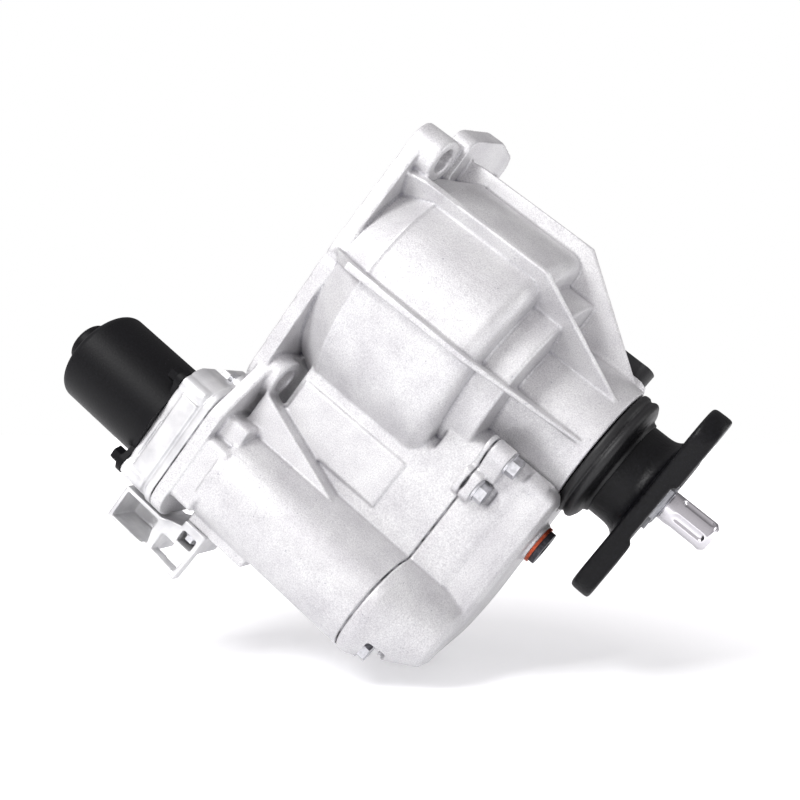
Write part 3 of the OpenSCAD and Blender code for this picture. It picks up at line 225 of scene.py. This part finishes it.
cover = blank("cover_casting", "rear_cover")
niche_wall = 0.008
niche_length = 0.011
niche_near, niche_back = -0.0816, -0.0456
niche_floor, niche_roof = -0.172, -0.1437
draft_shift = (0.0085, 0, 0.0075)
draft_scale = 1.2
pocket_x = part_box("rear_cover")[0][0] + niche_wall
carve(cover, (pocket_x, niche_near, niche_floor),
      (pocket_x + niche_length, niche_back, niche_roof), draft_shift, draft_scale)
soften(cover, voxel=0.0008, rounds=4, keep=0.4, quick_voxel=0.002, quick_rounds=4)
finish_skin(cover, cast, "case", "rear_cover")

# Sealing joints: beads of liquid gasket squeezed between the machined faces of case, cover and
# gearcase. To the eye they are a thin dark line, wiped off in places of about 8 mm, where the bare
# joint shows grey.
seal = start("Liquid gasket")
place = add(seal, "ShaderNodeTexCoord").outputs["Object"]
bead = add(seal, "ShaderNodeTexNoise", {"Vector": place}, Scale=120, Detail=4, Roughness=0.6)
tone = add(seal, "ShaderNodeValToRGB", {"Fac": bead.outputs["Fac"]}, [
    (0.42, linear("#2B2B2F")), (0.62, linear("#B4B3B8"))])
relief = add(seal, "ShaderNodeBump", {"Height": bead.outputs["Fac"]},
             Strength=0.4, Distance=0.0003)
skin = add(seal, "ShaderNodeBsdfPrincipled", {
    "Base Color": tone.outputs["Color"], "Normal": relief.outputs["Normal"]}, Roughness=0.6)
add(seal, "ShaderNodeOutputMaterial", {"Surface": skin.outputs["BSDF"]})
wear(seal, "cover_gasket", "gearcase_gasket")

# Screws: cold-headed steel with zinc plating, which hold cover, gearcase and bracket to the case.
# To the eye they are brighter and smoother than the casting, with a haze of about 2.4 mm.
zinc = start("Zinc-plated steel")
place = add(zinc, "ShaderNodeTexCoord").outputs["Object"]
haze = add(zinc, "ShaderNodeTexNoise", {"Vector": place}, Scale=420, Detail=3)
tone = add(zinc, "ShaderNodeValToRGB", {"Fac": haze.outputs["Fac"]}, [
    (0.3, linear("#B4B5B8")), (0.7, linear("#DCDCE0"))])
gloss = add(zinc, "ShaderNodeMapRange", {"Value": haze.outputs["Fac"]}, To_Min=0.24, To_Max=0.44)
skin = add(zinc, "ShaderNodeBsdfPrincipled", {
    "Base Color": tone.outputs["Color"], "Roughness": gloss.outputs["Result"]}, Metallic=1.0)
add(zinc, "ShaderNodeOutputMaterial", {"Surface": skin.outputs["BSDF"]})
wear(zinc, "cover_bolts", "gearcase_bolts", "bracket_bolts")

# Drain plug: turned steel with a dark phosphate skin, screwed into the cover on a crush washer of
# annealed copper. A copy of its CAD node has its head cut a little lower and its edges broken. To
# the eye it is a dull dark grey with a mottle of about 1.7 mm.
phosphate = start("Dark phosphated steel")
place = add(phosphate, "ShaderNodeTexCoord").outputs["Object"]
haze = add(phosphate, "ShaderNodeTexNoise", {"Vector": place}, Scale=600, Detail=3)
tone = add(phosphate, "ShaderNodeValToRGB", {"Fac": haze.outputs["Fac"]}, [
    (0.3, linear("#2C2C30")), (0.7, linear("#4C4C52"))])
skin = add(phosphate, "ShaderNodeBsdfPrincipled", {"Base Color": tone.outputs["Color"]},
           Metallic=0.6, Roughness=0.45)
add(phosphate, "ShaderNodeOutputMaterial", {"Surface": skin.outputs["BSDF"]})
plug = blank("drain_plug_turned", "drain_plug")
head_cut = 0.0018
clear_of_plug = 0.01
low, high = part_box("drain_plug")
carve(plug, (high[0] - head_cut, low[1] - clear_of_plug, low[2] - clear_of_plug),
      (high[0] + clear_of_plug, high[1] + clear_of_plug, high[2] + clear_of_plug))
bevel = plug.modifiers.new("turned edge", "BEVEL")
bevel.width = 0.0009
bevel.segments = 3
bevel.limit_method = "ANGLE"
finish_skin(plug, phosphate, "case", "drain_plug")

# To the eye the washer is a warm red, a little uneven every 2 mm from the flame that softened it.
copper = start("Annealed copper")
place = add(copper, "ShaderNodeTexCoord").outputs["Object"]
haze = add(copper, "ShaderNodeTexNoise", {"Vector": place}, Scale=500, Detail=3)
tone = add(copper, "ShaderNodeValToRGB", {"Fac": haze.outputs["Fac"]}, [
    (0.3, linear("#A8442A")), (0.7, linear("#D0694A"))])
skin = add(copper, "ShaderNodeBsdfPrincipled", {"Base Color": tone.outputs["Color"]},
           Metallic=0.8, Roughness=0.38)
add(copper, "ShaderNodeOutputMaterial", {"Surface": skin.outputs["BSDF"]})
wear(copper, "drain_washer")

# Output flange: the three-armed hub of the rear shaft, hot-forged in steel, its arm pads milled
# and its edges rounded by the die. To the eye its oxide skin is nearly black, with scale of 2 mm
# and shallow dents of 8 mm.
forged = start("Black oxide forging")
place = add(forged, "ShaderNodeTexCoord").outputs["Object"]
scale = add(forged, "ShaderNodeTexNoise", {"Vector": place}, Scale=520, Detail=4, Roughness=0.6)
dents = add(forged, "ShaderNodeTexNoise", {"Vector": place}, Scale=130, Detail=3)
tone = add(forged, "ShaderNodeValToRGB", {"Fac": scale.outputs["Fac"]}, [
    (0.3, linear("#050506")), (0.7, linear("#0E0E12"))])
gloss = add(forged, "ShaderNodeMapRange", {"Value": scale.outputs["Fac"]}, To_Min=0.3, To_Max=0.5)
relief = add(forged, "ShaderNodeBump", {"Height": scale.outputs["Fac"]},
             Strength=0.4, Distance=0.0004)
waves = add(forged, "ShaderNodeBump",
            {"Height": dents.outputs["Fac"], "Normal": relief.outputs["Normal"]},
            Strength=0.3, Distance=0.001)
skin = add(forged, "ShaderNodeBsdfPrincipled", {
    "Base Color": tone.outputs["Color"], "Roughness": gloss.outputs["Result"],
    "Normal": waves.outputs["Normal"]}, Specular_IOR_Level=0.2)
add(forged, "ShaderNodeOutputMaterial", {"Surface": skin.outputs["BSDF"]})
wear(forged, "output_flange")
soften(nodes["output_flange"], voxel=0.0009, rounds=34, keep=0.8, quick_voxel=0.0016,
       quick_rounds=8)

# Dust cover: deep-drawn sheet steel pressed on the flange's neck, its rolled edges made by
# smoothing. To the eye its coating is matt black with a texture of about 1.1 mm.
sheet = start("Matt black coated sheet steel")
place = add(sheet, "ShaderNodeTexCoord").outputs["Object"]
haze = add(sheet, "ShaderNodeTexNoise", {"Vector": place}, Scale=900, Detail=2)
tone = add(sheet, "ShaderNodeValToRGB", {"Fac": haze.outputs["Fac"]}, [
    (0.3, linear("#070709")), (0.7, linear("#0E0E11"))])
relief = add(sheet, "ShaderNodeBump", {"Height": haze.outputs["Fac"]},
             Strength=0.2, Distance=0.0002)
skin = add(sheet, "ShaderNodeBsdfPrincipled", {
    "Base Color": tone.outputs["Color"], "Normal": relief.outputs["Normal"]}, Roughness=0.5)
add(sheet, "ShaderNodeOutputMaterial", {"Surface": skin.outputs["BSDF"]})
soften(nodes["dust_cover"], voxel=0.0007, rounds=9, keep=0.7, quick_voxel=0.0014, quick_rounds=3)
wear(sheet, "dust_cover")

# Pilot pin: hardened steel, ground and polished, seated in the shaft's end. Balls, rollers and pins
# inside are of the same steel. To the eye it is bright and nearly a mirror, with faint grinding
# lines round the shaft, drawn 0.4 mm wide, coarser than real ones so that they show.
polished = start("Ground and polished steel")
place = add(polished, "ShaderNodeTexCoord").outputs["Object"]
lay = add(polished, "ShaderNodeMapping", {"Vector": place}, Scale=(1.0, 0.08, 0.08))
lines = add(polished, "ShaderNodeTexNoise", {"Vector": lay.outputs["Vector"]},
            Scale=2600, Detail=3)
gloss = add(polished, "ShaderNodeMapRange", {"Value": lines.outputs["Fac"]},
            To_Min=0.12, To_Max=0.3)
relief = add(polished, "ShaderNodeBump", {"Height": lines.outputs["Fac"]},
             Strength=0.12, Distance=0.0001)
skin = add(polished, "ShaderNodeBsdfPrincipled",
           {"Roughness": gloss.outputs["Result"], "Normal": relief.outputs["Normal"]},
           Base_Color=linear("#DAD8DC"), Metallic=1.0)
add(polished, "ShaderNodeOutputMaterial", {"Surface": skin.outputs["BSDF"]})
soften(nodes["pilot_pin"], voxel=0.0004, rounds=9, keep=1, quick_voxel=0.0009, quick_rounds=3)
wear(polished, "pilot_pin", "ramp_balls", "needle_race", "lever_roller", "actuator_bearings",
     "idler_pin")

# Motor: a deep-drawn steel can on a steel plate, bolted to the gearcase. To the eye its paint is
# satin black with a soft sheen along the can and an orange peel of about 1.2 mm.
paint = start("Satin black paint")
place = add(paint, "ShaderNodeTexCoord").outputs["Object"]
peel = add(paint, "ShaderNodeTexNoise", {"Vector": place}, Scale=850, Detail=3)
tone = add(paint, "ShaderNodeValToRGB", {"Fac": peel.outputs["Fac"]}, [
    (0.3, linear("#08080A")), (0.7, linear("#101013"))])
gloss = add(paint, "ShaderNodeMapRange", {"Value": peel.outputs["Fac"]}, To_Min=0.4, To_Max=0.56)
relief = add(paint, "ShaderNodeBump", {"Height": peel.outputs["Fac"]},
             Strength=0.25, Distance=0.00025)
skin = add(paint, "ShaderNodeBsdfPrincipled", {
    "Base Color": tone.outputs["Color"], "Roughness": gloss.outputs["Result"],
    "Normal": relief.outputs["Normal"]}, Specular_IOR_Level=0.14)
add(paint, "ShaderNodeOutputMaterial", {"Surface": skin.outputs["BSDF"]})
wear(paint, "motor_can", "motor_plate", "motor_bolts")

# Gearcase: pressure die-cast aluminium, bolted to the case's pad round the actuator's gears. To the
# eye it is smoother and brighter than the sand casting, with a grain of 0.8 mm and clouds of 14 mm.
die_cast = start("Die-cast aluminium")
place = add(die_cast, "ShaderNodeTexCoord").outputs["Object"]
grain = add(die_cast, "ShaderNodeTexNoise", {"Vector": place}, Scale=1300, Detail=3)
cloud = add(die_cast, "ShaderNodeTexNoise", {"Vector": place}, Scale=70, Detail=4)
tone = add(die_cast, "ShaderNodeValToRGB", {"Fac": cloud.outputs["Fac"]}, [
    (0.3, linear("#CACACC")), (0.7, linear("#EEEEEE"))])
relief = add(die_cast, "ShaderNodeBump", {"Height": grain.outputs["Fac"]},
             Strength=0.35, Distance=0.0003)
skin = add(die_cast, "ShaderNodeBsdfPrincipled",
           {"Base Color": tone.outputs["Color"], "Normal": relief.outputs["Normal"]},
           Metallic=0.6, Roughness=0.42)
add(die_cast, "ShaderNodeOutputMaterial", {"Surface": skin.outputs["BSDF"]})
wear(die_cast, "actuator_gearcase")
soften(nodes["actuator_gearcase"], voxel=0.0006, rounds=4, keep=0.7, quick_voxel=0.0014,
       quick_rounds=4)

# Bracket: die-cast with thin walls and screwed to the ledge below the case's actuator tube. A copy
# of its CAD node has its pockets opened further, so that a narrow fin stays between them and its
# right-hand window lets the light through.
bracket = blank("bracket_casting", "support_bracket")
fin_side = 0.0172
cut_past_side = 0.002
cut_past_end = 0.005
window_near_wall = 0.007
window_roof = 0.013
slot_end = 0.0225
slot_depth = 0.01
slot_floor = 0.005
slot_roof = 0.0145
pocket_left, pocket_right = -0.0125, 0.011
pocket_back_wall = 0.004
pocket_floor = 0.0035
pocket_roof = 0.0108
low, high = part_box("support_bracket")
carve(bracket, (fin_side, low[1] + window_near_wall, low[2] - cut_past_end),
      (high[0] + cut_past_end, high[1] + cut_past_side, high[2] - window_roof))
carve(bracket, (fin_side, low[1] - cut_past_side, low[2] + slot_floor),
      (slot_end, low[1] + slot_depth, high[2] - slot_roof))
carve(bracket, (pocket_left, low[1] - cut_past_side, low[2] + pocket_floor),
      (pocket_right, high[1] - pocket_back_wall, high[2] - pocket_roof))
soften(bracket, voxel=0.0006, rounds=3, keep=1, quick_voxel=0.0014, quick_rounds=3)
finish_skin(bracket, die_cast, "case", "support_bracket")

# Speed sensor: moulded in glass-filled nylon with its connector elbow, and plugged into its boss.
# To the eye it is a dull black with a fine texture of 0.7 mm.
nylon = start("Moulded black nylon")
place = add(nylon, "ShaderNodeTexCoord").outputs["Object"]
texture = add(nylon, "ShaderNodeTexNoise", {"Vector": place}, Scale=1500, Detail=2)
tone = add(nylon, "ShaderNodeValToRGB", {"Fac": texture.outputs["Fac"]}, [
    (0.3, linear("#101012")), (0.7, linear("#1C1C1F"))])
relief = add(nylon, "ShaderNodeBump", {"Height": texture.outputs["Fac"]},
             Strength=0.2, Distance=0.0002)
skin = add(nylon, "ShaderNodeBsdfPrincipled", {
    "Base Color": tone.outputs["Color"], "Normal": relief.outputs["Normal"]}, Roughness=0.48)
add(nylon, "ShaderNodeOutputMaterial", {"Surface": skin.outputs["BSDF"]})
wear(nylon, "speed_sensor")

# Seals: nitrile rubber moulded round a steel case and pressed in round the shafts. To the eye they
# are a flat, very dark grey with a bloom of about 1.1 mm.
rubber = start("Nitrile rubber")
place = add(rubber, "ShaderNodeTexCoord").outputs["Object"]
bloom = add(rubber, "ShaderNodeTexNoise", {"Vector": place}, Scale=900, Detail=2)
tone = add(rubber, "ShaderNodeValToRGB", {"Fac": bloom.outputs["Fac"]}, [
    (0.3, linear("#161618")), (0.7, linear("#242427"))])
skin = add(rubber, "ShaderNodeBsdfPrincipled", {"Base Color": tone.outputs["Color"]},
           Roughness=0.65)
add(rubber, "ShaderNodeOutputMaterial", {"Surface": skin.outputs["BSDF"]})
wear(rubber, "input_seal", "rear_seal", "front_shaft_seal")

# Shafts, gears, bearings and rings: steel, turned, hobbed or stamped, then hardened, on their seats
# in the case. To the eye they are a cool grey metal with turning marks round the shaft, drawn
# 0.6 mm wide, coarser than real ones so that they show.
machined = start("Machined steel")
place = add(machined, "ShaderNodeTexCoord").outputs["Object"]
lay = add(machined, "ShaderNodeMapping", {"Vector": place}, Scale=(1.0, 0.1, 0.1))
lines = add(machined, "ShaderNodeTexNoise", {"Vector": lay.outputs["Vector"]},
            Scale=1800, Detail=3)
tone = add(machined, "ShaderNodeValToRGB", {"Fac": lines.outputs["Fac"]}, [
    (0.3, linear("#8E8F94")), (0.7, linear("#BFC0C4"))])
gloss = add(machined, "ShaderNodeMapRange", {"Value": lines.outputs["Fac"]},
            To_Min=0.22, To_Max=0.42)
skin = add(machined, "ShaderNodeBsdfPrincipled", {
    "Base Color": tone.outputs["Color"], "Roughness": gloss.outputs["Result"]}, Metallic=1.0)
add(machined, "ShaderNodeOutputMaterial", {"Surface": skin.outputs["BSDF"]})
wear(machined, "main_shaft", "flange_nut", "clutch_hub", "steel_plates", "clutch_drum",
     "drive_gear", "drive_gear_ring", "idler_gear", "front_output_shaft", "front_gear",
     "front_gear_ring", "front_shaft_bearings", "thrust_bearing", "ramp_lever", "roller_pin",
     "slide_ramp", "pressure_plate", "actuator_shaft", "spread_cam", "actuator_gear", "layshaft",
     "layshaft_pin", "front_main_bearing", "drum_bearing", "rear_main_bearing",
     "rear_snap_ring", "plate_snap_ring")

# Friction plates: steel cores with a paper lining bonded to both sides, splined to the hub. To the
# eye the lining is a dull brown with fibre clumps of 0.6 mm.
lining = start("Paper friction lining")
place = add(lining, "ShaderNodeTexCoord").outputs["Object"]
fibre = add(lining, "ShaderNodeTexNoise", {"Vector": place}, Scale=1600, Detail=4)
tone = add(lining, "ShaderNodeValToRGB", {"Fac": fibre.outputs["Fac"]}, [
    (0.3, linear("#5A4A38")), (0.7, linear("#7E6A52"))])
skin = add(lining, "ShaderNodeBsdfPrincipled", {"Base Color": tone.outputs["Color"]},
           Roughness=0.85)
add(lining, "ShaderNodeOutputMaterial", {"Surface": skin.outputs["BSDF"]})
wear(lining, "friction_plates")

# Drum bush: sintered bronze pressed into the drum, in which the main shaft runs. To the eye it is
# a soft yellow-brown metal with grains of 0.7 mm.
bronze = start("Sintered bronze")
place = add(bronze, "ShaderNodeTexCoord").outputs["Object"]
powder = add(bronze, "ShaderNodeTexNoise", {"Vector": place}, Scale=1400, Detail=3)
tone = add(bronze, "ShaderNodeValToRGB", {"Fac": powder.outputs["Fac"]}, [
    (0.3, linear("#8A6A3C")), (0.7, linear("#B8925A"))])
skin = add(bronze, "ShaderNodeBsdfPrincipled", {"Base Color": tone.outputs["Color"]},
           Metallic=1.0, Roughness=0.45)
add(bronze, "ShaderNodeOutputMaterial", {"Surface": skin.outputs["BSDF"]})
wear(bronze, "drum_bush")

# Motor magnets and armature: sintered ferrite shells glued into the can, round laminations wound
# with lacquered copper wire. To the eye the ferrite is a dull dark grey with grains of 0.8 mm.
ferrite = start("Sintered ferrite")
place = add(ferrite, "ShaderNodeTexCoord").outputs["Object"]
powder = add(ferrite, "ShaderNodeTexNoise", {"Vector": place}, Scale=1200, Detail=3)
tone = add(ferrite, "ShaderNodeValToRGB", {"Fac": powder.outputs["Fac"]}, [
    (0.3, linear("#2E2E31")), (0.7, linear("#434347"))])
skin = add(ferrite, "ShaderNodeBsdfPrincipled", {"Base Color": tone.outputs["Color"]},
           Roughness=0.7)
add(ferrite, "ShaderNodeOutputMaterial", {"Surface": skin.outputs["BSDF"]})
wear(ferrite, "motor_magnets")

# To the eye the windings are a glossy copper brown, uneven every 1.1 mm as the wires lie.
windings = start("Armature windings")
place = add(windings, "ShaderNodeTexCoord").outputs["Object"]
strands = add(windings, "ShaderNodeTexNoise", {"Vector": place}, Scale=900, Detail=3)
tone = add(windings, "ShaderNodeValToRGB", {"Fac": strands.outputs["Fac"]}, [
    (0.3, linear("#7A4A28")), (0.7, linear("#B87A4A"))])
skin = add(windings, "ShaderNodeBsdfPrincipled", {"Base Color": tone.outputs["Color"]},
           Metallic=0.8, Roughness=0.4)
add(windings, "ShaderNodeOutputMaterial", {"Surface": skin.outputs["BSDF"]})
wear(windings, "motor_rotor")

# Floor: a plain white sheet below the lowest corner as the picture shows it. It glows, less near
# the part so that the shadow there stays, and seen from below it gives way, so that the far side
# can be looked at too.
lowest = min(v.co.dot(picture_up) for part in nodes.values() for v in part.data.vertices)
middle = (cad_box[0] + cad_box[1]) / 2
floor_gap = 0.002
floor_size = 6
ground = middle + picture_up * (lowest - middle.dot(picture_up) - floor_gap)
bpy.ops.mesh.primitive_plane_add(size=floor_size, location=ground,
                                 rotation=picture_up.to_track_quat("Z", "Y").to_euler())
floor = bpy.context.object
floor.name = "floor"
bpy.ops.object.transform_apply(location=True, rotation=True, scale=True)
paper = start("White paper")
ray = add(paper, "ShaderNodeLightPath")
seen = add(paper, "ShaderNodeMath",
           {0: ray.outputs["Is Camera Ray"], 1: ray.outputs["Is Glossy Ray"]},
           operation="MAXIMUM")
shown = add(paper, "ShaderNodeMath",
            {0: seen.outputs[0], 1: ray.outputs["Is Transmission Ray"]}, operation="MAXIMUM")
place = add(paper, "ShaderNodeTexCoord").outputs["Object"]
centre = add(paper, "ShaderNodeVectorMath", {0: place}, operation="SUBTRACT")
centre.inputs[1].default_value = ground
away = add(paper, "ShaderNodeVectorMath", {0: centre.outputs[0]}, operation="LENGTH")
fade = add(paper, "ShaderNodeMapRange", {"Value": away.outputs["Value"]},
           From_Min=0.12, From_Max=0.5, To_Min=0.35, To_Max=1.0)
white = add(paper, "ShaderNodeMath", {0: shown.outputs[0], 1: fade.outputs[0]},
            operation="MULTIPLY")
matt = add(paper, "ShaderNodeBsdfDiffuse", Color=linear("#F4F4F6"))
glow = add(paper, "ShaderNodeEmission", {"Strength": white.outputs[0]}, Color=linear("#FFFFFF"))
lit = add(paper, "ShaderNodeAddShader", {0: matt.outputs[0], 1: glow.outputs[0]})
side = add(paper, "ShaderNodeNewGeometry")
under = add(paper, "ShaderNodeMath",
            {0: side.outputs["Backfacing"], 1: ray.outputs["Is Camera Ray"]},
            operation="MULTIPLY")
clear = add(paper, "ShaderNodeBsdfTransparent")
both = add(paper, "ShaderNodeMixShader",
           {0: under.outputs[0], 1: lit.outputs[0], 2: clear.outputs[0]})
add(paper, "ShaderNodeOutputMaterial", {"Surface": both.outputs[0]})
floor.data.materials.append(paper)

# Light: a soft lamp high on the left, in front of the part, and a weak one on the right, in a room
# that is brighter towards the camera and the upper left and that shows white behind the part.
room = bpy.data.worlds.new("room")
room.use_nodes = True
room.node_tree.nodes.clear()
bpy.context.scene.world = room
bright_side = (camera_back * 0.55 + picture_up * 0.6 - picture_right * 0.58).normalized()
ray = add(room, "ShaderNodeLightPath")
towards = add(room, "ShaderNodeTexCoord")
facing = add(room, "ShaderNodeVectorMath", {0: towards.outputs["Generated"]},
             operation="DOT_PRODUCT")
facing.inputs[1].default_value = bright_side
soft_side = add(room, "ShaderNodeMapRange", {"Value": facing.outputs["Value"]},
                From_Min=-0.3, From_Max=0.9, To_Min=0.23, To_Max=0.84)
air = add(room, "ShaderNodeBackground", {"Strength": soft_side.outputs["Result"]},
          Color=linear("#F7F4F7"))
wall = add(room, "ShaderNodeBackground", Color=linear("#FFFFFF"), Strength=1.0)
pick = add(room, "ShaderNodeMixShader",
           {0: ray.outputs["Is Camera Ray"], 1: air.outputs[0], 2: wall.outputs[0]})
add(room, "ShaderNodeOutputWorld", {"Surface": pick.outputs[0]})


def lamp(name, right, up, back, width, watts):
    light = bpy.data.lights.new(name, "AREA")
    light.shape = "SQUARE"
    light.size = width
    light.energy = watts
    holder = bpy.data.objects.new(name, light)
    spot = middle + picture_right * right + picture_up * up + camera_back * back
    aim = (middle - spot).to_track_quat("-Z", "Y")
    holder.matrix_world = Matrix.Translation(spot) @ aim.to_matrix().to_4x4()
    bpy.context.scene.collection.objects.link(holder)


lamp("key", right=-0.6, up=0.75, back=0.7, width=0.4, watts=8.6)
lamp("side", right=1.0, up=0.3, back=0.2, width=0.5, watts=2)
bpy.context.scene.view_settings.view_transform = "Standard"
